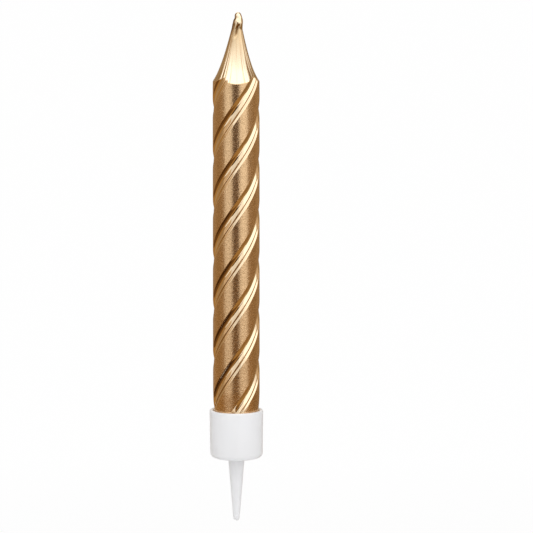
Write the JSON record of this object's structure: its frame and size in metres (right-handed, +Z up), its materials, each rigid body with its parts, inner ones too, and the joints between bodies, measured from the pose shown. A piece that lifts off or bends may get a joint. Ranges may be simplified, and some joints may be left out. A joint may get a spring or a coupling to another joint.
{
  "type": "birthday candle",
  "caption": "Pointed spiral-grooved birthday candle with a metallic gold layer over a wax core and wick, standing in a white push-in holder whose spike goes into a cake.",
  "frame": {"origin": "middle of the cup's underside on the candle's axis, at the root of the spike, where the holder rests on the icing", "axes": "+Z up the candle towards its wick, +X to the right of the picture, the picture is taken from -Y"},
  "size_m": [0.0092, 0.0092, 0.0881],
  "materials": {
    "holder": "smooth white moulded plastic",
    "gold_layer": "metallic gold lacquered wax, satin lobes with glossy grooves and point",
    "wax_core": "white paraffin wax",
    "wick": "braided cotton"
  },
  "bodies": {
    "holder": {"holder": "holder"},
    "candle": {"gold_layer": "gold_layer", "wax_core": "wax_core", "wick": "wick"}
  },
  "joints": [
    {"name": "candle_lift", "type": "slide", "parent": "holder", "child": "candle", "axis": [0, 0, 1], "range_m": [0, 0.01]}
  ]
}
